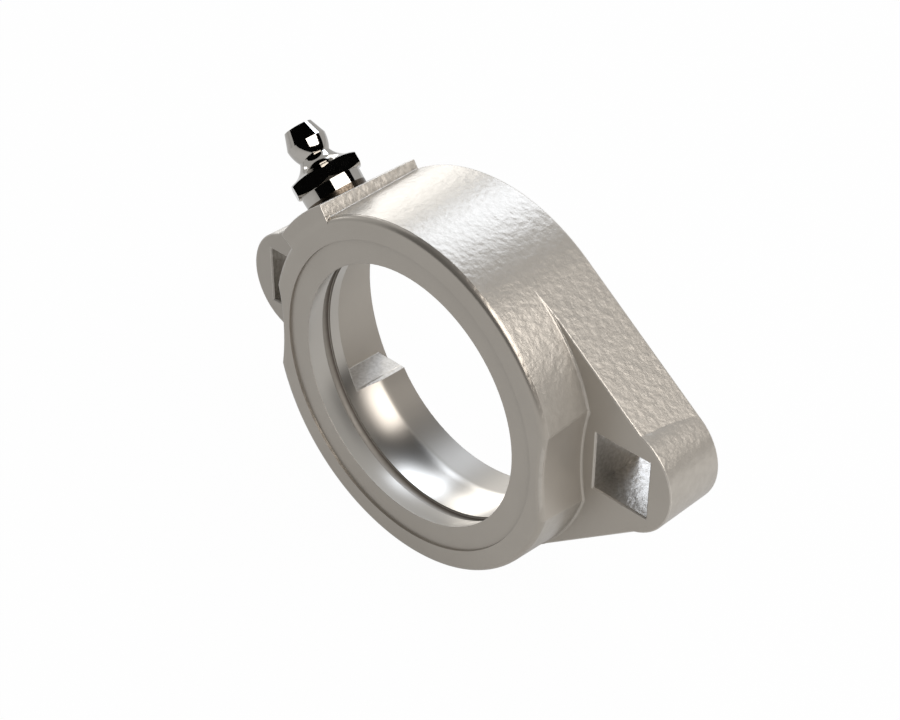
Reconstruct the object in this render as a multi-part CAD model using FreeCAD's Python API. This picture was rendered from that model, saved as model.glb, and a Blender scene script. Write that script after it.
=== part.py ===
import FreeCAD, Part
import math
import os

# Two-bolt flange bearing housing for a 47 mm insert bearing, with a grease fitting.
# Millimetres. The origin is the centre of the spherical bearing seat.
# The bore axis is Y: the front ring faces -Y and the mounting face looks to +Y.
# The two bolt holes lie on X, and +Z is up.

# Flange
BOLT_SPACING = 71.5
FLANGE_THICKNESS = 10.8
EAR_RADIUS = 9.3
WEB_INSIDE_EAR = 0.02
BOLT_HOLE_SIDE = 10.0
FLANGE_EDGE_CHAMFER = 0.14
BOLT_HOLE_CHAMFER = 0.25

# Barrel and its front ring
BARREL_RADIUS = 30.2
BARREL_HEIGHT = 9.1
DRAFT_ANGLE = 2.2
BARREL_ROOT_FILLET = 0.38
ROOT_SINK = 0.01
RING_EDGE_RADIUS = 0.95
FACE_RECESS_RADIUS = 26.2
FACE_RECESS_DEPTH = 0.4
FACE_RECESS_WALL_WIDTH = 0.05

# Clearance cut in the barrel beside each bolt
BOLT_CLEARANCE = 7.58
CLEARANCE_CUT_RADIUS = 40.0

# Bearing seat and bore
INSERT_DIAMETER = 47.0
SEAT_CLEARANCE = 0.01
SEAT_CENTRE_DEPTH = 11.6
BACK_LIP_HEIGHT = 0.46
SEAT_BLEND_RADIUS = 12.0
OPENING_EDGE_RADIUS = 0.1

# Lubrication groove round the seat
GROOVE_CENTRE_FORWARD = 2.95
GROOVE_WIDTH = 1.9
GROOVE_DEPTH = 0.8

# Recess in the mounting face and the two loading slots
BACK_RIM_WIDTH = 2.2
BACK_RECESS_DEPTH = 1.3
SLOT_WIDTH = 26.1
SLOT_PAST_CENTRE = 0.1
SLOT_RUNOUT = 3.5

# Raised pad for the grease fitting
PAD_HEIGHT = 2.0
PAD_ANGLE = 23.4
FITTING_TILT = 45.0
FITTING_FORWARD = 0.0

# Tapered thread and grease passage
THREAD_DIAMETER = 10.1
THREAD_LENGTH = 6.0
THREAD_TAPER = 1.0 / 16.0
THREAD_CLEARANCE = 0.03
TAPPED_HOLE_EXTRA = 0.7
PASSAGE_DIAMETER = 6.0

# Grease fitting above the pad
COLLAR_HEIGHT = 2.4
HEX_ACROSS_FLATS = 11.0
HEX_HEIGHT = 2.45
HEX_CHAMFER = 0.42
HEX_TURN = 28.9
FLARE_HEIGHT = 2.35
NECK_RADIUS = 2.6
HEAD_ROOT_HEIGHT = 2.65
HEAD_RADIUS = 3.33
HEAD_CONE_HEIGHT = 2.6
TIP_RADIUS = 2.36

# Check valve inside the fitting
BALL_DIAMETER = 2.5
BALL_SEAT_GAP = 0.03
MOUTH_RADIUS = 0.95
MOUTH_DEPTH = 0.5
CHAMBER_RADIUS = 1.4
CRIMP_RADIUS = 0.9
CRIMP_HEIGHT = 0.6
SPRING_MEAN_RADIUS = 1.0
SPRING_WIRE_DIAMETER = 0.3
SPRING_TURNS = 8
SPRING_END_GAP = 0.03

# Places along Y that follow from the sizes above
MOUNTING_Y = SEAT_CENTRE_DEPTH
FLANGE_FRONT_Y = MOUNTING_Y - FLANGE_THICKNESS
RING_Y = FLANGE_FRONT_Y - BARREL_HEIGHT
RECESSED_FACE_Y = RING_Y + FACE_RECESS_DEPTH
BACK_RECESS_Y = MOUNTING_Y - BACK_RECESS_DEPTH

# Radii about the bore that follow from the sizes above
DRAFT_SLOPE = math.tan(math.radians(DRAFT_ANGLE))
RING_RADIUS = BARREL_RADIUS - BARREL_HEIGHT * DRAFT_SLOPE
HUB_BACK_RADIUS = BARREL_RADIUS + FLANGE_THICKNESS * DRAFT_SLOPE
SEAT_RADIUS = INSERT_DIAMETER / 2 + SEAT_CLEARANCE
BACK_OPENING_RADIUS = SEAT_RADIUS - BACK_LIP_HEIGHT
BACK_RECESS_RADIUS = HUB_BACK_RADIUS - BACK_RIM_WIDTH
PAD_RADIUS = BARREL_RADIUS + PAD_HEIGHT

# Heights along the fitting's axis, from the bore axis
COLLAR_TOP = PAD_RADIUS + COLLAR_HEIGHT
HEX_TOP = COLLAR_TOP + HEX_HEIGHT
NECK = HEX_TOP + FLARE_HEIGHT
HEAD_WIDEST = NECK + HEAD_ROOT_HEIGHT
TIP = HEAD_WIDEST + HEAD_CONE_HEIGHT
THREAD_END = PAD_RADIUS - THREAD_LENGTH
BALL_RADIUS = BALL_DIAMETER / 2
BALL_SEAT = TIP - MOUTH_DEPTH
BALL_CENTRE = BALL_SEAT - math.sqrt(BALL_RADIUS ** 2 - MOUTH_RADIUS ** 2) - BALL_SEAT_GAP

V = FreeCAD.Vector
Y_AXIS = V(0, 1, 0)
CUT_MARGIN = 2.0


def line(a, b):
    return Part.LineSegment(a, b).toShape()


def arc(a, through, b):
    return Part.Arc(a, through, b).toShape()


def ring_point(radius, y):
    """A point of a half section of the bore: radius along +X, then Y."""
    return V(radius, y, 0)


def turned(edges, centre=V(0, 0, 0), axis=Y_AXIS):
    """The solid that a closed half section sweeps about an axis."""
    face = Part.Face(Part.Wire(Part.__sortEdges__(edges)))
    return face.revolve(centre, axis, 360)


def barrel_radius_at(y):
    """Radius of the drafted barrel and hub at a place along the bore."""
    return BARREL_RADIUS + (y - FLANGE_FRONT_Y) * DRAFT_SLOPE


def web_outline(y):
    """Outline of the hub and the four webs at y, closed inside the two ears."""
    ear_x = BOLT_SPACING / 2
    hub = barrel_radius_at(y)
    across = (HUB_BACK_RADIUS - EAR_RADIUS + WEB_INSIDE_EAR) / ear_x
    up = math.sqrt(1 - across ** 2)
    reach = hub - ear_x * across
    edges = []
    for side in (1, -1):
        top = V(side * (ear_x + reach * across), y, reach * up)
        bottom = V(top.x, y, -top.z)
        edges.append(line(top, bottom))
        edges.append(line(top, V(side * hub * across, y, hub * up)))
        edges.append(line(bottom, V(side * hub * across, y, -hub * up)))
    for side in (1, -1):
        left = V(-hub * across, y, side * hub * up)
        right = V(hub * across, y, side * hub * up)
        edges.append(arc(left, V(0, y, side * hub), right))
    return Part.Wire(Part.__sortEdges__(edges))


def drafted_web(y_front, y_back):
    """Hub and webs, wider at the back by the casting's draft."""
    return Part.makeLoft([web_outline(y_front), web_outline(y_back)], True, True)


def flange():
    """The rhombic plate with its two ears and its front edge broken."""
    plate = drafted_web(FLANGE_FRONT_Y, MOUNTING_Y)
    for side in (1, -1):
        place = V(side * BOLT_SPACING / 2, FLANGE_FRONT_Y, 0)
        plate = plate.fuse(Part.makeCylinder(EAR_RADIUS, FLANGE_THICKNESS, place, Y_AXIS))
    plate = plate.removeSplitter()
    front = [e for e in plate.Edges if e.BoundBox.YMax < FLANGE_FRONT_Y + 0.001]
    return plate.makeChamfer(FLANGE_EDGE_CHAMFER, front)


def barrel():
    """The drafted barrel, solid from the middle of the flange to the ring."""
    base_y = FLANGE_FRONT_Y + FLANGE_THICKNESS / 2
    base_radius = barrel_radius_at(base_y)
    edges = [
        line(ring_point(0, base_y), ring_point(base_radius, base_y)),
        line(ring_point(base_radius, base_y), ring_point(RING_RADIUS, RING_Y)),
        line(ring_point(RING_RADIUS, RING_Y), ring_point(0, RING_Y)),
        line(ring_point(0, RING_Y), ring_point(0, base_y)),
    ]
    return turned(edges)


def barrel_root():
    """Small flare where the barrel stands on the flange, as wide as the flange."""
    size = BARREL_ROOT_FILLET
    bend = size * (1 - math.sqrt(0.5))
    top_y = FLANGE_FRONT_Y - size
    top_x = barrel_radius_at(top_y) - ROOT_SINK
    inner_x = BARREL_RADIUS - 2 * size
    foot_y = FLANGE_FRONT_Y + ROOT_SINK
    base_y = FLANGE_FRONT_Y + size
    edges = [
        line(ring_point(inner_x, base_y), ring_point(BARREL_RADIUS + size, base_y)),
        line(ring_point(BARREL_RADIUS + size, base_y), ring_point(BARREL_RADIUS + size, foot_y)),
        arc(
            ring_point(BARREL_RADIUS + size, foot_y),
            ring_point(BARREL_RADIUS + bend, FLANGE_FRONT_Y - bend),
            ring_point(top_x, top_y),
        ),
        line(ring_point(top_x, top_y), ring_point(inner_x, top_y)),
        line(ring_point(inner_x, top_y), ring_point(inner_x, base_y)),
    ]
    return turned(edges).common(drafted_web(RING_Y, MOUNTING_Y))


def clearance_cut(side):
    """What is cut from the barrel beside a bolt: a wide hollow with a rounded root."""
    centre_x = BOLT_SPACING / 2 - BOLT_CLEARANCE + CLEARANCE_CUT_RADIUS
    wall = CLEARANCE_CUT_RADIUS
    root = BARREL_ROOT_FILLET
    bend = root * (1 - math.sqrt(0.5))
    front_y = RING_Y - CUT_MARGIN

    def at(radius, y):
        return V(side * (centre_x - radius), y, 0)

    edges = [
        line(at(0, FLANGE_FRONT_Y), at(wall - root, FLANGE_FRONT_Y)),
        arc(
            at(wall - root, FLANGE_FRONT_Y),
            at(wall - bend, FLANGE_FRONT_Y - bend),
            at(wall, FLANGE_FRONT_Y - root),
        ),
        line(at(wall, FLANGE_FRONT_Y - root), at(wall, front_y)),
        line(at(wall, front_y), at(0, front_y)),
        line(at(0, front_y), at(0, FLANGE_FRONT_Y)),
    ]
    return turned(edges, V(side * centre_x, 0, 0))


def outer_form():
    """Flange and barrel with the two clearance hollows and the ring's edge rounded."""
    body = flange().fuse(barrel()).fuse(barrel_root())
    for side in (1, -1):
        body = body.cut(clearance_cut(side))
    body = body.removeSplitter()
    ring = [e for e in body.Edges if e.BoundBox.YMax < RING_Y + 0.001]
    return body.makeFillet(RING_EDGE_RADIUS, ring)


def fitting_direction():
    """Outward direction of the fitting, tilted from upright towards the left bolt."""
    tilt = math.radians(FITTING_TILT)
    return V(-math.sin(tilt), 0, math.cos(tilt))


def pad():
    """Raised sector round the barrel that carries the fitting, from face to face."""
    half = math.radians(PAD_ANGLE / 2)
    middle = math.atan2(fitting_direction().z, fitting_direction().x)
    inner = (SEAT_RADIUS + PAD_RADIUS) / 2

    def at(radius, angle):
        return V(radius * math.cos(angle), RING_Y, radius * math.sin(angle))

    low = middle - half
    high = middle + half
    edges = [
        line(at(inner, low), at(PAD_RADIUS, low)),
        arc(at(PAD_RADIUS, low), at(PAD_RADIUS, middle), at(PAD_RADIUS, high)),
        line(at(PAD_RADIUS, high), at(inner, high)),
        line(at(inner, high), at(inner, low)),
    ]
    face = Part.Face(Part.Wire(edges))
    return face.extrude(V(0, MOUNTING_Y - RING_Y, 0))


def seat_radius_at(y):
    """Radius of the spherical seat at a place along the bore."""
    return math.sqrt(SEAT_RADIUS ** 2 - y ** 2)


def seat_end():
    """Where the sphere blends into the straight back opening: sphere point, blend and line point."""
    centre_radius = BACK_OPENING_RADIUS + SEAT_BLEND_RADIUS
    reach = SEAT_RADIUS + SEAT_BLEND_RADIUS
    centre_y = math.sqrt(reach ** 2 - centre_radius ** 2)
    on_sphere = ring_point(centre_radius, centre_y) * (SEAT_RADIUS / reach)
    turn = math.atan2(centre_y, centre_radius) / 2
    middle = ring_point(
        centre_radius - SEAT_BLEND_RADIUS * math.cos(turn),
        centre_y - SEAT_BLEND_RADIUS * math.sin(turn),
    )
    return on_sphere, middle, ring_point(BACK_OPENING_RADIUS, centre_y)


def bore():
    """Everything turned out of the housing: face recess, spherical seat and back recess."""
    wall_foot = FACE_RECESS_RADIUS - FACE_RECESS_WALL_WIDTH
    edge = OPENING_EDGE_RADIUS
    edge_bend = edge * (1 - math.sqrt(0.5))
    mouth = ring_point(seat_radius_at(RECESSED_FACE_Y), RECESSED_FACE_Y)
    mouth_out = mouth + V(edge, 0, 0)
    mouth_in = ring_point(seat_radius_at(RECESSED_FACE_Y + edge), RECESSED_FACE_Y + edge)
    mouth_bend = (mouth_out + mouth_in) * 0.35 + mouth * 0.3
    on_sphere, blend, on_line = seat_end()
    front_y = RING_Y - CUT_MARGIN
    back_y = MOUNTING_Y + CUT_MARGIN
    edges = [
        line(ring_point(0, front_y), ring_point(FACE_RECESS_RADIUS, front_y)),
        line(ring_point(FACE_RECESS_RADIUS, front_y), ring_point(FACE_RECESS_RADIUS, RING_Y)),
        line(ring_point(FACE_RECESS_RADIUS, RING_Y), ring_point(wall_foot, RECESSED_FACE_Y)),
        line(ring_point(wall_foot, RECESSED_FACE_Y), mouth_out),
        arc(mouth_out, mouth_bend, mouth_in),
        arc(mouth_in, ring_point(SEAT_RADIUS, 0), on_sphere),
        arc(on_sphere, blend, on_line),
        line(on_line, ring_point(BACK_OPENING_RADIUS, BACK_RECESS_Y - edge)),
        arc(
            ring_point(BACK_OPENING_RADIUS, BACK_RECESS_Y - edge),
            ring_point(BACK_OPENING_RADIUS + edge_bend, BACK_RECESS_Y - edge_bend),
            ring_point(BACK_OPENING_RADIUS + edge, BACK_RECESS_Y),
        ),
        line(
            ring_point(BACK_OPENING_RADIUS + edge, BACK_RECESS_Y),
            ring_point(BACK_RECESS_RADIUS, BACK_RECESS_Y),
        ),
        line(ring_point(BACK_RECESS_RADIUS, BACK_RECESS_Y), ring_point(BACK_RECESS_RADIUS, back_y)),
        line(ring_point(BACK_RECESS_RADIUS, back_y), ring_point(0, back_y)),
        line(ring_point(0, back_y), ring_point(0, front_y)),
    ]
    return turned(edges)


def lubrication_groove():
    """Rounded groove round the seat, fed by the fitting's grease passage."""
    middle_y = -GROOVE_CENTRE_FORWARD
    front_y = middle_y - GROOVE_WIDTH / 2
    back_y = middle_y + GROOVE_WIDTH / 2
    bottom = seat_radius_at(middle_y) + GROOVE_DEPTH
    inner = seat_radius_at(front_y) - GROOVE_DEPTH
    shoulder = bottom - GROOVE_DEPTH / 2
    edges = [
        line(ring_point(inner, front_y), ring_point(shoulder, front_y)),
        arc(
            ring_point(shoulder, front_y),
            ring_point(bottom, middle_y),
            ring_point(shoulder, back_y),
        ),
        line(ring_point(shoulder, back_y), ring_point(inner, back_y)),
        line(ring_point(inner, back_y), ring_point(inner, front_y)),
    ]
    return turned(edges)


def loading_slots():
    """The two slots that let the insert in from the back, as deep as the seat's centre."""
    end_y = -SLOT_PAST_CENTRE
    back_y = MOUNTING_Y + CUT_MARGIN
    floor = BACK_RECESS_RADIUS
    slope = SLOT_RUNOUT / (floor - SEAT_RADIUS)
    tip_radius = SEAT_RADIUS - 1
    tip_y = end_y - slope
    edges = [
        line(ring_point(0, tip_y), ring_point(tip_radius, tip_y)),
        line(ring_point(tip_radius, tip_y), ring_point(floor, end_y + SLOT_RUNOUT)),
        line(ring_point(floor, end_y + SLOT_RUNOUT), ring_point(floor, back_y)),
        line(ring_point(floor, back_y), ring_point(0, back_y)),
        line(ring_point(0, back_y), ring_point(0, tip_y)),
    ]
    band = Part.makeBox(
        2 * BARREL_RADIUS,
        back_y - tip_y + CUT_MARGIN,
        SLOT_WIDTH,
        V(-BARREL_RADIUS, tip_y - CUT_MARGIN / 2, -SLOT_WIDTH / 2),
    )
    return turned(edges).common(band)


def square_outline(side, half, y):
    """Square centred on a bolt's axis, across Y."""
    centre_x = side * BOLT_SPACING / 2
    points = []
    for x, z in ((-half, -half), (half, -half), (half, half), (-half, half), (-half, -half)):
        points.append(V(centre_x + x, y, z))
    return Part.makePolygon(points)


def bolt_hole(side):
    """Square hole that keeps a carriage bolt from turning, with a broken front edge."""
    half = BOLT_HOLE_SIDE / 2
    start_y = FLANGE_FRONT_Y - CUT_MARGIN
    through = Part.Face(square_outline(side, half, start_y))
    through = through.extrude(V(0, FLANGE_THICKNESS + 2 * CUT_MARGIN, 0))
    mouth = Part.makeLoft(
        [
            square_outline(side, half + 2 * BOLT_HOLE_CHAMFER, FLANGE_FRONT_Y - BOLT_HOLE_CHAMFER),
            square_outline(side, half, FLANGE_FRONT_Y + BOLT_HOLE_CHAMFER),
        ],
        True,
        True,
    )
    return through.fuse(mouth)


def along_fitting(height):
    """A point on the fitting's axis at a height from the bore axis."""
    return fitting_direction() * height + V(0, -FITTING_FORWARD, 0)


def thread_radius(height):
    """Radius of the tapered thread at a height from the bore axis."""
    return THREAD_DIAMETER / 2 + (height - PAD_RADIUS) * THREAD_TAPER / 2


def tapped_hole():
    """Tapered hole for the fitting and the passage from it to the seat and its groove."""
    bottom = THREAD_END - TAPPED_HOLE_EXTRA
    top = PAD_RADIUS + CUT_MARGIN
    hole = Part.makeCone(
        thread_radius(bottom) + THREAD_CLEARANCE,
        thread_radius(top) + THREAD_CLEARANCE,
        top - bottom,
        along_fitting(bottom),
        fitting_direction(),
    )
    start = SEAT_RADIUS - 2 * CUT_MARGIN
    passage = Part.makeCylinder(
        PASSAGE_DIAMETER / 2,
        bottom + CUT_MARGIN / 2 - start,
        along_fitting(start),
        fitting_direction(),
    )
    return hole.fuse(passage)


def housing():
    body = outer_form().fuse(pad()).removeSplitter()
    for side in (1, -1):
        body = body.cut(bolt_hole(side))
    for tool in (bore(), lubrication_groove(), loading_slots(), tapped_hole()):
        body = body.cut(tool)
    return body.removeSplitter()


def fitting_point(radius, height):
    """A point of the fitting's half section, drawn upright in XZ before it is tilted."""
    return V(radius, 0, height)


def placed_on_fitting_axis(shape):
    """Turn an upright piece about the bore axis and move it to the fitting's place."""
    shape.rotate(V(0, 0, 0), V(0, 1, 0), -FITTING_TILT)
    shape.translate(V(0, -FITTING_FORWARD, 0))
    return shape


def threaded_shank():
    """Tapered shank with the collar above the pad."""
    return Part.makeCone(
        thread_radius(THREAD_END),
        thread_radius(COLLAR_TOP),
        COLLAR_TOP - THREAD_END,
        V(0, 0, THREAD_END),
    )


def fitting_head():
    """Hexagon with chamfered corners, flared neck and coned head as one turned profile."""
    corner = HEX_ACROSS_FLATS / 2 / math.cos(math.radians(30))
    flat = HEX_ACROSS_FLATS / 2
    p = fitting_point
    edges = [
        line(p(0, COLLAR_TOP), p(flat, COLLAR_TOP)),
        line(p(flat, COLLAR_TOP), p(corner, COLLAR_TOP + HEX_CHAMFER)),
        line(p(corner, COLLAR_TOP + HEX_CHAMFER), p(corner, HEX_TOP - HEX_CHAMFER)),
        line(p(corner, HEX_TOP - HEX_CHAMFER), p(flat, HEX_TOP)),
        arc(
            p(flat, HEX_TOP),
            p(NECK_RADIUS + (flat - NECK_RADIUS) * 0.3, HEX_TOP + FLARE_HEIGHT * 0.45),
            p(NECK_RADIUS, NECK),
        ),
        arc(
            p(NECK_RADIUS, NECK),
            p(NECK_RADIUS + (HEAD_RADIUS - NECK_RADIUS) * 0.78, NECK + HEAD_ROOT_HEIGHT * 0.55),
            p(HEAD_RADIUS, HEAD_WIDEST),
        ),
        line(p(HEAD_RADIUS, HEAD_WIDEST), p(TIP_RADIUS, TIP)),
        line(p(TIP_RADIUS, TIP), p(0, TIP)),
        line(p(0, TIP), p(0, COLLAR_TOP)),
    ]
    return turned(edges, axis=V(0, 0, 1)).common(hexagon())


def hexagon():
    """Six-sided prism as high as the head, turned as the tightened fitting stands."""
    corner = HEX_ACROSS_FLATS / 2 / math.cos(math.radians(30))
    points = []
    for step in range(7):
        angle = math.radians(60 * step + HEX_TURN)
        points.append(V(corner * math.cos(angle), corner * math.sin(angle), COLLAR_TOP))
    return Part.Face(Part.makePolygon(points)).extrude(V(0, 0, TIP - COLLAR_TOP))


def fitting_inside():
    """Mouth, coned ball seat, ball chamber and crimped lower end."""
    cone = CHAMBER_RADIUS - MOUTH_RADIUS
    p = fitting_point
    edges = [
        line(p(0, TIP + CUT_MARGIN), p(MOUTH_RADIUS, TIP + CUT_MARGIN)),
        line(p(MOUTH_RADIUS, TIP + CUT_MARGIN), p(MOUTH_RADIUS, BALL_SEAT)),
        line(p(MOUTH_RADIUS, BALL_SEAT), p(CHAMBER_RADIUS, BALL_SEAT - cone)),
        line(p(CHAMBER_RADIUS, BALL_SEAT - cone), p(CHAMBER_RADIUS, THREAD_END + CRIMP_HEIGHT)),
        line(p(CHAMBER_RADIUS, THREAD_END + CRIMP_HEIGHT), p(CRIMP_RADIUS, THREAD_END + CRIMP_HEIGHT)),
        line(p(CRIMP_RADIUS, THREAD_END + CRIMP_HEIGHT), p(CRIMP_RADIUS, THREAD_END - CUT_MARGIN)),
        line(p(CRIMP_RADIUS, THREAD_END - CUT_MARGIN), p(0, THREAD_END - CUT_MARGIN)),
        line(p(0, THREAD_END - CUT_MARGIN), p(0, TIP + CUT_MARGIN)),
    ]
    return turned(edges, axis=V(0, 0, 1))


def grease_fitting_body():
    outside = threaded_shank().fuse(fitting_head()).removeSplitter()
    return placed_on_fitting_axis(outside.cut(fitting_inside()))


def check_ball():
    return placed_on_fitting_axis(Part.makeSphere(BALL_RADIUS, V(0, 0, BALL_CENTRE)))


def check_spring():
    """Coil from the crimped end of the fitting to the underside of the ball."""
    wire = SPRING_WIRE_DIAMETER / 2
    reach = BALL_RADIUS + wire + SPRING_END_GAP
    top = BALL_CENTRE - math.sqrt(reach ** 2 - SPRING_MEAN_RADIUS ** 2)
    bottom = THREAD_END + CRIMP_HEIGHT + wire + SPRING_END_GAP
    height = top - bottom
    helix = Part.makeHelix(height / SPRING_TURNS, height, SPRING_MEAN_RADIUS)
    circle = Part.Circle(V(SPRING_MEAN_RADIUS, 0, 0), V(0, 1, 0), wire)
    section = Part.Wire(circle.toShape())
    coil = Part.Wire(helix.Edges).makePipeShell([section], True, True)
    coil.translate(V(0, 0, bottom))
    return placed_on_fitting_axis(coil)


PIECES = {
    "housing": housing,
    "grease_fitting_body": grease_fitting_body,
    "check_ball": check_ball,
    "check_spring": check_spring,
}

os.makedirs("parts", exist_ok=True)
for name, make in PIECES.items():
    piece = make()
    piece.exportStep("parts/" + name + ".step")
    print(name, len(piece.Solids), piece.isValid(), round(piece.Volume, 2))
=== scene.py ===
import math

import bpy
from mathutils import Euler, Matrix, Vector


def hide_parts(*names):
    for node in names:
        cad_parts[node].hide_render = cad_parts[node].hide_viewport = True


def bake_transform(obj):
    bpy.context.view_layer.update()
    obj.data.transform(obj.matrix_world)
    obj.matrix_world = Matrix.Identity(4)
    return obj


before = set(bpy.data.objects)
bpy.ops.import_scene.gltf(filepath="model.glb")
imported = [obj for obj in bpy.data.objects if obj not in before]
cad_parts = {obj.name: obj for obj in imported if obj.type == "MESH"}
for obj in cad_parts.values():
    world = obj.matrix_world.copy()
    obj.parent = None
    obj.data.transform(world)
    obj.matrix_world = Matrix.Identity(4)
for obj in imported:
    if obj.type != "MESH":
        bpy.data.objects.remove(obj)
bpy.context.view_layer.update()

MM = 0.001

# Sizes of the housing that its finishes follow, in millimetres. The ring faces -Y.
SEAT_RADIUS = 23.51
SEAT_BACK_Y = 4.7
FRONT_LIP_Y = -7.9
GROOVE_Y = -2.95
GROOVE_HALF_WIDTH = 0.95
SLOT_FRONT_Y = -0.4
SLOT_FLOOR_RADIUS = 28.415
SLOT_HALF_WIDTH = 13.05
FACE_STEP_RADIUS = 26.2
RING_ROUND_Y = -7.35
RING_ROUND_RADIUS = 28.75
BARREL_RADIUS = 30.2
FLANGE_FRONT_Y = 0.8
HOLLOW_CENTRE_X = 68.17
HOLLOW_RADIUS = 40.0
PAD_BOTTOM = 26.5
PAD_REACH = 18.5
BOLT_HOLE_X = 35.75
BOLT_HOLE_HALF = 5.0
THREAD_TOP = 32.75

# Rounding of the casting's edges, reach of the painted highlight along them and height of its
# skin, in millimetres
EDGE_RADIUS = 0.25
ROUNDED_FROM_RADIUS = 26.5
EDGE_HIGHLIGHT_FROM_RADIUS = 29.1
WRINKLE_HEIGHT = 0.11

# Coil spring behind the check ball, which shortens as the ball goes in, in millimetres
COIL_BOTTOM = 26.98
COIL_TOP = 42.285
COIL_TURNS = 8
COIL_RADIUS = 1.0
WIRE_RADIUS = 0.15
COIL_TILT = 45
WIRE_SIDES = 16
STEPS_PER_TURN = 36

# Colours. A pair holds the two tones between which a finish varies.
PLAIN_IRON = ((0.402, 0.373, 0.331), (0.416, 0.387, 0.344))
SAND_CAST_IRON = ((0.400, 0.376, 0.338), (0.435, 0.410, 0.370))
# Painted light: a lighter copy of the cast iron on the grease pad
PAD_PAINTED_LIGHT = ((0.440, 0.412, 0.368), (0.515, 0.488, 0.444))
# Painted light: a lighter, more contrasty copy of the cast iron on the walls of the holes and
# slots
HOLE_WALL_PAINTED_LIGHT = ((0.370, 0.345, 0.308), (0.460, 0.436, 0.400))
SEAT_IRON = (0.480, 0.455, 0.415)
# Painted shade: darker iron on the bore's back land
BACK_LAND_PAINTED_SHADE = (0.285, 0.267, 0.239)
# Painted highlight: lighter iron along the casting's rounded outer edges
EDGE_HIGHLIGHT_PAINT = (0.620, 0.592, 0.545)
# Painted shade: darker iron on the wall of the step in the ring's face
STEP_PAINTED_SHADE = (0.300, 0.272, 0.235)
# Painted shade: near-black iron in the groove of the bore
GROOVE_PAINTED_SHADE = (0.105, 0.088, 0.072)
PLATING = ((0.440, 0.420, 0.388), (0.480, 0.460, 0.428))
THREAD_BROWN = ((0.050, 0.040, 0.030), (0.140, 0.115, 0.090))
HARD_STEEL = ((0.55, 0.55, 0.56), (0.62, 0.62, 0.63))
SPRING_STEEL = ((0.36, 0.35, 0.34), (0.48, 0.47, 0.46))
CLOTH_BLACK = (0.004, 0.004, 0.004)
FLOOR_GREY = (0.5, 0.5, 0.5)
WHITE = (1.0, 1.0, 1.0)

# The photograph's viewpoint
CAMERA_PLACE = (168.875, -171.052, 173.571)
CAMERA_TURN = (54.65993, -0.28375, 44.52973)
CAMERA_LENS = 76.32
SENSOR_WIDTH = 36.0
NEAR_CLIP = 0.01
FAR_CLIP = 20.0

# Lamps: name, azimuth, elevation, size in metres, radiance and colour
LAMPS = (
    ("left_back_box", -61, 16, (0.26, 0.38), 2.8, WHITE),
    ("high_back_box", -28, 46, (0.29, 0.23), 4.9, (0.77, 0.855, 1.0)),
    ("right_box", 91, 42, (0.66, 0.41), 4.4, (1.0, 0.953, 0.915)),
    ("low_left_box", -98, 8, (0.09, 0.13), 3.0, WHITE),
)
LAMP_DISTANCE = 0.6

# Surroundings: the share of plain white that the camera and reflections see
AIR_LIGHT = 0.6
AIR_IN_CAMERA = 1.0
AIR_IN_MIRROR = 0.15
FLOOR_IN_CAMERA = 0.98
FLOOR_IN_MIRROR = 0.35
FLOOR_SIZE = 8.0
FLOOR_Z = -30.7
CURTAIN_RADIUS = 0.8
CURTAIN_FACING = (128, 25)


class Value:
    """One number socket of a shader, so that maths on it reads as Python."""

    def __init__(self, shader, socket):
        self.shader = shader
        self.socket = socket

    def maths(self, operation, *others):
        return self.shader.node(
            "ShaderNodeMath", {"operation": operation}, dict(enumerate((self, *others)))
        )

    def __add__(self, other):
        return self.maths("ADD", other)

    __radd__ = __add__

    def __mul__(self, other):
        return self.maths("MULTIPLY", other)

    __rmul__ = __mul__

    def __sub__(self, other):
        return self.maths("SUBTRACT", other)

    def __rsub__(self, other):
        return self * -1.0 + other

    def __abs__(self):
        return self.maths("ABSOLUTE")

    def root(self):
        return self.maths("SQRT")

    def most(self, other):
        return self.maths("MAXIMUM", other)

    def rise(self, low, high):
        """0 below low, 1 above high and smooth between. With low above high it falls."""
        return self.shader.node(
            "ShaderNodeMapRange",
            {"interpolation_type": "SMOOTHSTEP", "clamp": True},
            {"Value": self, "From Min": low, "From Max": high},
        )


class Shader:
    """The node tree of one material or of the world."""

    def __init__(self, owner):
        owner.use_nodes = True
        self.tree = owner.node_tree
        self.tree.nodes.clear()

    def feed(self, socket, value):
        if isinstance(value, Value):
            self.tree.links.new(value.socket, socket)
        elif isinstance(value, tuple) and len(value) == 3 and len(socket.default_value) == 4:
            socket.default_value = (*value, 1.0)
        else:
            socket.default_value = value

    def node(self, kind, settings=None, inputs=None, output=0):
        made = self.tree.nodes.new(kind)
        for name, value in (settings or {}).items():
            setattr(made, name, value)
        for name, value in (inputs or {}).items():
            self.feed(made.inputs[name], value)
        return Value(self, made.outputs[output])

    def output_of(self, value, name):
        """Another output of the node that the value comes from."""
        return Value(self, value.socket.node.outputs[name])

    def blend(self, mask, low, high):
        """A colour that goes from low to high as the mask rises."""
        return self.node("ShaderNodeMix", {"data_type": "RGBA"}, {0: mask, 6: low, 7: high}, 2)

    def mottle(self, noise, spread, tones):
        """A colour that goes from one tone to the other about the noise's middle value."""
        return self.blend(noise.rise(0.5 - spread, 0.5 + spread), *tones)

    def noise(self, place, scale, detail=2.0, roughness=0.5):
        return self.node(
            "ShaderNodeTexNoise",
            {},
            {"Vector": place, "Scale": scale, "Detail": detail, "Roughness": roughness},
        )

    def ray_share(self, in_camera, in_mirror):
        """What camera rays get, and what reflected and passing rays get. The others get 0."""
        camera_ray = self.node("ShaderNodeLightPath", output="Is Camera Ray")
        mirrored = self.output_of(camera_ray, "Is Glossy Ray").most(
            self.output_of(camera_ray, "Is Transmission Ray")
        )
        return camera_ray * in_camera + mirrored * in_mirror

    def principled(self, inputs):
        self.finish(self.node("ShaderNodeBsdfPrincipled", {}, inputs))

    def finish(self, surface, kind="ShaderNodeOutputMaterial"):
        end = self.tree.nodes.new(kind)
        self.tree.links.new(surface.socket, end.inputs["Surface"])


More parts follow.
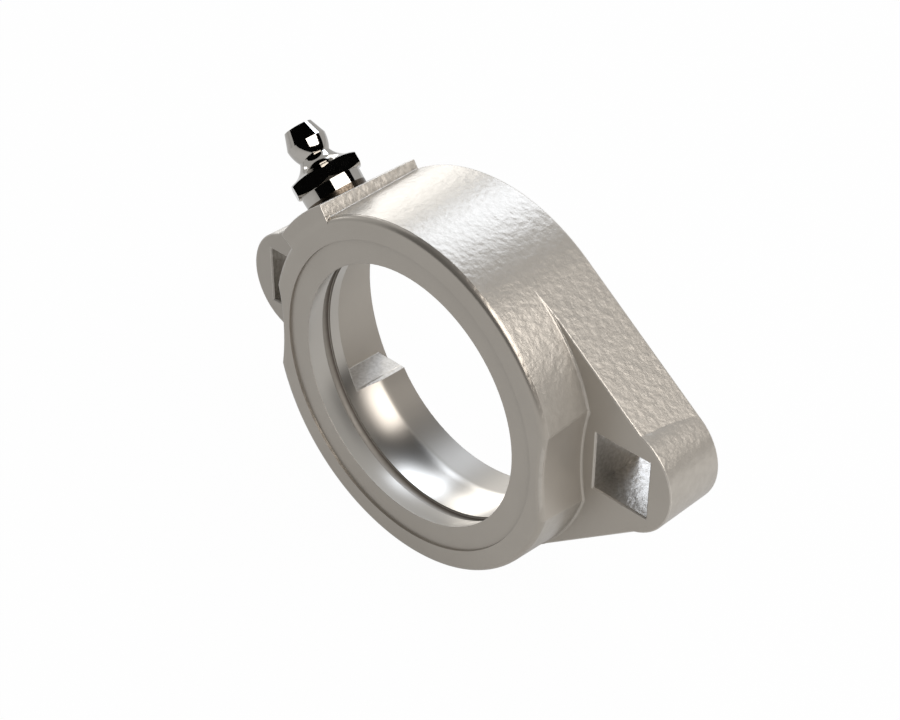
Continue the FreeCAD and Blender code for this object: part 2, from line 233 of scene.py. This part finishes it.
class Places:
    """Where a point of the surface is, in millimetres, and which way it faces."""

    def __init__(self, shader):
        at = shader.node("ShaderNodeTexCoord", output="Object")
        self.point = shader.node(
            "ShaderNodeMapping", {}, {"Vector": at, "Scale": (1 / MM, 1 / MM, 1 / MM)}
        )
        self.x, self.y, self.z = self.split(shader, self.point)
        self.radius = (self.x * self.x + self.z * self.z).root()
        _, self.facing_y, self.facing_z = self.split(shader, shader.output_of(at, "Normal"))
        self.up_fitting = (self.z - self.x) * math.sqrt(0.5)

    def split(self, shader, vector):
        x = shader.node("ShaderNodeSeparateXYZ", {}, {"Vector": vector})
        return x, shader.output_of(x, "Y"), shader.output_of(x, "Z")


class CastingAreas:
    """Masks of the casting: each is 1 on its own surface, 0 elsewhere and soft between."""

    def __init__(self, at):
        self.flat_face = abs(at.facing_y).rise(0.80, 0.95)
        beside_flat = 1.0 - self.flat_face

        # Bore: seat, front lip, back land, groove and loading slots
        in_bore = at.radius.rise(SEAT_RADIUS + 0.75, SEAT_RADIUS + 0.35)
        slot = at.radius.rise(SEAT_RADIUS + 0.2, SEAT_RADIUS + 0.4)
        slot = slot * at.radius.rise(SLOT_FLOOR_RADIUS + 0.15, SLOT_FLOOR_RADIUS + 0.05)
        slot = slot * at.y.rise(SLOT_FRONT_Y - 0.2, SLOT_FRONT_Y + 0.2)
        slot_side = abs(abs(at.z) - SLOT_HALF_WIDTH).rise(0.08, 0.02)
        slot_side = slot_side * abs(at.facing_z).rise(0.85, 0.95)
        self.seat = in_bore * beside_flat * (1.0 - slot_side)
        self.front_lip = self.seat * at.y.rise(FRONT_LIP_Y + 0.3, FRONT_LIP_Y + 0.1)
        self.back_land = self.seat * at.y.rise(SEAT_BACK_Y - 0.3, SEAT_BACK_Y + 0.7)
        groove = abs(at.y - GROOVE_Y).rise(GROOVE_HALF_WIDTH + 0.05, GROOVE_HALF_WIDTH - 0.15)
        self.groove = groove * in_bore * at.radius.rise(SEAT_RADIUS - 0.16, SEAT_RADIUS - 0.02)

        # Ring: its rounded edge and the wall of the step in its face
        ring_edge = at.y.rise(RING_ROUND_Y, RING_ROUND_Y - 0.2) * (1.0 - self.seat)
        ring_edge = ring_edge * at.radius.rise(RING_ROUND_RADIUS, RING_ROUND_RADIUS + 0.2)
        self.ring_edge = ring_edge * at.radius.rise(BARREL_RADIUS + 0.1, BARREL_RADIUS - 0.1)
        step = at.radius.rise(FACE_STEP_RADIUS - 0.15, FACE_STEP_RADIUS - 0.05)
        step = step * at.radius.rise(FACE_STEP_RADIUS + 0.2, FACE_STEP_RADIUS + 0.1)
        self.step = step * at.y.rise(RING_ROUND_Y, RING_ROUND_Y - 0.1) * beside_flat

        # Hollows cut in the barrel beside the bolts
        aside = abs(at.x) - HOLLOW_CENTRE_X
        hollow = (aside * aside + at.z * at.z).root()
        hollow = hollow.rise(HOLLOW_RADIUS + 0.12, HOLLOW_RADIUS + 0.02)
        hollow = hollow * at.y.rise(FLANGE_FRONT_Y, FLANGE_FRONT_Y - 0.1) * beside_flat

        # Sides of the grease pad, and walls of the square holes and slots
        pad = at.radius.rise(BARREL_RADIUS + 0.5, BARREL_RADIUS + 0.8)
        pad = pad * at.up_fitting.rise(PAD_BOTTOM - 0.5, PAD_BOTTOM + 0.5)
        self.pad = pad * abs(at.x + at.z).rise(PAD_REACH + 1.0, PAD_REACH) * beside_flat
        bolt_hole = abs(abs(at.x) - BOLT_HOLE_X).most(abs(at.z))
        self.bolt_hole = bolt_hole.rise(BOLT_HOLE_HALF + 0.1, BOLT_HOLE_HALF + 0.02) * beside_flat
        self.hole_walls = self.bolt_hole.most(slot_side)

        # All that is left has the sand mould's skin
        smooth = self.seat.most(self.ring_edge)
        self.cast = beside_flat * (1.0 - smooth) * (1.0 - hollow) * (1.0 - slot)


def new_material(name):
    material = bpy.data.materials.new(name)
    shader = Shader(material)
    return material, shader, Places(shader)


def put_on(node, material):
    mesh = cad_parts[node].data
    mesh.materials.clear()
    mesh.materials.append(material)


def casting_finish():
    material, shader, at = new_material("machined_and_cast_iron")
    on = CastingAreas(at)

    # Rounded edges, with a painted highlight that makes them brighter than the faces
    rounded = shader.node("ShaderNodeBevel", {"samples": 8}, {"Radius": EDGE_RADIUS * MM})
    plain_normal = shader.node("ShaderNodeNewGeometry", output="Normal")
    left_sharp = at.radius.rise(ROUNDED_FROM_RADIUS + 0.5, ROUNDED_FROM_RADIUS - 0.5)
    left_sharp = left_sharp.most(on.bolt_hole)
    edges = shader.node(
        "ShaderNodeMix", {"data_type": "VECTOR"}, {0: left_sharp, 4: rounded, 5: plain_normal}, 1
    )
    straight = shader.node(
        "ShaderNodeVectorMath", {"operation": "DOT_PRODUCT"}, {0: edges, 1: plain_normal}, "Value"
    )
    # Painted highlight where the rounding bends the normal, on the outer edges only
    painted_edge_highlight = straight.rise(0.995, 0.95)
    painted_edge_highlight = painted_edge_highlight * at.radius.rise(EDGE_HIGHLIGHT_FROM_RADIUS - 0.2, EDGE_HIGHLIGHT_FROM_RADIUS + 0.2)
    painted_edge_highlight = painted_edge_highlight * (1.0 - on.bolt_hole)

    # Colours, each over those before it
    plain = shader.mottle(shader.noise(at.point, 0.12, 3.0), 0.2, PLAIN_IRON)
    sand = shader.mottle(shader.noise(at.point, 0.9), 0.25, SAND_CAST_IRON)
    # the pad's lighter iron is painted light
    pad = shader.mottle(shader.noise(at.point, 1.3), 0.15, PAD_PAINTED_LIGHT)
    # the hole walls' lighter iron is painted light
    hole_wall_painted_light = shader.mottle(shader.noise(at.point, 1.6, 3.0, 0.6), 0.15, HOLE_WALL_PAINTED_LIGHT)
    colour = shader.blend(on.cast, plain, sand)
    for area, paint in (
        (on.seat, SEAT_IRON),
        # painted shade on the back land
        (on.back_land, BACK_LAND_PAINTED_SHADE),
        (on.pad, pad),
        (on.hole_walls, hole_wall_painted_light),
        (painted_edge_highlight, EDGE_HIGHLIGHT_PAINT),
        # painted shade on the wall of the face's step
        (on.step, STEP_PAINTED_SHADE),
        # painted shade in the groove
        (on.groove, GROOVE_PAINTED_SHADE),
    ):
        colour = shader.blend(area, colour, paint)

    metal = 0.6 + 0.4 * on.seat - 0.2 * on.back_land - 0.4 * on.front_lip
    metal = metal + 0.2 * on.ring_edge.most(on.hole_walls) - 0.9 * on.groove
    roughness = 0.40 - 0.04 * on.cast - 0.11 * on.seat + 0.13 * on.back_land
    roughness = roughness + 0.2 * on.front_lip - 0.10 * on.ring_edge
    roughness = roughness - 0.02 * on.hole_walls + 0.45 * on.groove

    # Wrinkled skin that the sand mould leaves
    normal = shader.node(
        "ShaderNodeBump",
        {},
        {
            "Strength": 0.8,
            "Distance": WRINKLE_HEIGHT * MM,
            "Height": shader.noise(at.point, 0.95) * on.cast,
            "Normal": edges,
        },
    )
    shader.principled(
        {"Base Color": colour, "Metallic": metal, "Roughness": roughness, "Normal": normal}
    )
    return material


def plating_finish():
    material, shader, at = new_material("bright_plating")
    thread = at.up_fitting.rise(THREAD_TOP + 0.03, THREAD_TOP - 0.03)
    haze = shader.noise(at.point, 0.9, 3.0)
    bright = shader.mottle(haze, 0.2, PLATING)
    brown = shader.mottle(shader.noise(at.point, 3.5), 0.2, THREAD_BROWN)
    shader.principled(
        {
            "Base Color": shader.blend(thread, bright, brown),
            "Metallic": 1.0,
            "Roughness": 0.03 + 0.03 * haze + 0.2 * thread,
        }
    )
    return material


def bare_steel_finish(name, streak_scale, tones, roughness, streak_roughness):
    """Steel whose colour and roughness vary a little with fine streaks."""
    material, shader, at = new_material(name)
    streaks = shader.noise(at.point, streak_scale)
    shader.principled(
        {
            "Base Color": shader.mottle(streaks, 0.2, tones),
            "Metallic": 1.0,
            "Roughness": roughness + streak_roughness * streaks,
        }
    )
    return material


def coil_spring():
    """The coil spring as a piece of its own, wound between casting and ball."""
    bpy.ops.object.select_all(action="DESELECT")
    bpy.ops.mesh.primitive_circle_add(
        vertices=WIRE_SIDES, radius=WIRE_RADIUS * MM, rotation=(math.radians(90), 0, 0)
    )
    bpy.ops.object.transform_apply(location=True, rotation=True, scale=True)
    coil = bpy.context.object
    coil.name = "coil_spring"
    bpy.ops.object.mode_set(mode="EDIT")
    bpy.ops.mesh.select_all(action="SELECT")
    bpy.ops.transform.translate(value=(COIL_RADIUS * MM, 0, 0))
    bpy.ops.object.mode_set(mode="OBJECT")
    winding = coil.modifiers.new("winding", "SCREW")
    winding.screw_offset = (COIL_TOP - COIL_BOTTOM) / COIL_TURNS * MM
    winding.iterations = COIL_TURNS
    winding.steps = STEPS_PER_TURN
    bpy.ops.object.modifier_apply(modifier="winding")
    bpy.ops.object.mode_set(mode="EDIT")
    bpy.ops.mesh.select_all(action="SELECT")
    bpy.ops.mesh.fill_holes(sides=0)
    bpy.ops.mesh.select_all(action="SELECT")
    bpy.ops.mesh.normals_make_consistent(inside=False)
    bpy.ops.transform.translate(value=(0, 0, COIL_BOTTOM * MM))
    bpy.ops.transform.rotate(
        value=math.radians(COIL_TILT), orient_axis="Y", center_override=(0, 0, 0)
    )
    bpy.ops.object.mode_set(mode="OBJECT")
    bpy.ops.object.shade_smooth_by_angle(angle=math.radians(40))
    coil.data.materials.append(
        bare_steel_finish("drawn_spring_wire", 6.0, SPRING_STEEL, 0.22, 0.12)
    )
    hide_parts("check_spring")
    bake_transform(coil)


def direction(azimuth, elevation):
    """Unit vector: azimuth 0 is +Y and 90 is +X, elevation is above the horizon."""
    a = math.radians(azimuth)
    e = math.radians(elevation)
    return Vector((math.sin(a) * math.cos(e), math.cos(a) * math.cos(e), math.sin(e)))


def soft_box(name, azimuth, elevation, size, radiance, colour):
    """A square lamp that faces the housing and shows as radiance in a mirror."""
    light = bpy.data.lights.new(name, "AREA")
    light.shape = "RECTANGLE"
    light.size, light.size_y = size
    light.energy = radiance * math.pi * size[0] * size[1]
    light.color = colour
    lamp = bpy.data.objects.new(name, light)
    bpy.context.scene.collection.objects.link(lamp)
    toward = direction(azimuth, elevation)
    lamp.location = toward * LAMP_DISTANCE
    lamp.rotation_euler = toward.to_track_quat("Z", "Y").to_euler()
    lamp.visible_camera = False


def dark_curtain():
    """Black quarter dome over the front that only reflections show, as in a dark room."""
    bpy.ops.object.select_all(action="DESELECT")
    bpy.ops.mesh.primitive_uv_sphere_add(segments=64, ring_count=32, radius=CURTAIN_RADIUS)
    curtain = bpy.context.object
    curtain.name = "dark_curtain"
    bpy.ops.object.mode_set(mode="EDIT")
    for across in ((0, 0, 1), direction(*CURTAIN_FACING)):
        bpy.ops.mesh.select_all(action="SELECT")
        bpy.ops.mesh.bisect(plane_co=(0, 0, 0), plane_no=across, clear_inner=True)
    bpy.ops.object.mode_set(mode="OBJECT")
    material = bpy.data.materials.new("black_cloth")
    shader = Shader(material)
    shader.finish(shader.node("ShaderNodeBsdfDiffuse", {}, {"Color": CLOTH_BLACK}))
    curtain.data.materials.append(material)
    curtain.visible_camera = False
    curtain.visible_diffuse = False
    curtain.visible_shadow = False


def studio_air():
    """The world: white to the camera, and a plain dim light on the housing."""
    world = bpy.data.worlds.new("studio_air")
    bpy.context.scene.world = world
    shader = Shader(world)
    share = shader.ray_share(AIR_IN_CAMERA, AIR_IN_MIRROR)
    plain = shader.node("ShaderNodeBackground", {}, {"Color": WHITE, "Strength": AIR_LIGHT})
    white = shader.node("ShaderNodeBackground", {}, {"Color": WHITE, "Strength": 1.0})
    shader.finish(
        shader.node("ShaderNodeMixShader", {}, {0: share, 1: plain, 2: white}),
        "ShaderNodeOutputWorld",
    )


def studio_floor():
    """The floor: grey paint that takes the shadow, under white that the camera sees."""
    bpy.ops.object.select_all(action="DESELECT")
    bpy.ops.mesh.primitive_plane_add(size=FLOOR_SIZE, location=(0, 0, FLOOR_Z * MM))
    floor = bpy.context.object
    floor.name = "studio_floor"
    material = bpy.data.materials.new("pale_floor")
    shader = Shader(material)
    share = shader.ray_share(FLOOR_IN_CAMERA, FLOOR_IN_MIRROR)
    paint = shader.node("ShaderNodeBsdfDiffuse", {}, {"Color": FLOOR_GREY})
    glow = shader.node("ShaderNodeEmission", {}, {"Color": WHITE, "Strength": 1.0})
    shader.finish(shader.node("ShaderNodeMixShader", {}, {0: share, 1: paint, 2: glow}))
    floor.data.materials.append(material)


def camera():
    data = bpy.data.cameras.new("photograph_view")
    data.sensor_width = SENSOR_WIDTH
    data.lens = CAMERA_LENS
    data.clip_start = NEAR_CLIP
    data.clip_end = FAR_CLIP
    made = bpy.data.objects.new("photograph_view", data)
    bpy.context.scene.collection.objects.link(made)
    made.location = Vector(CAMERA_PLACE) * MM
    made.rotation_euler = Euler([math.radians(turn) for turn in CAMERA_TURN], "XYZ")
    bpy.context.scene.camera = made


camera()
studio_air()
studio_floor()
dark_curtain()
for lamp in LAMPS:
    soft_box(*lamp)
put_on("housing", casting_finish())
put_on("grease_fitting_body", plating_finish())
put_on("check_ball", bare_steel_finish("polished_hard_steel", 2.5, HARD_STEEL, 0.1, 0.06))
coil_spring()
bpy.context.scene.view_settings.view_transform = "Standard"
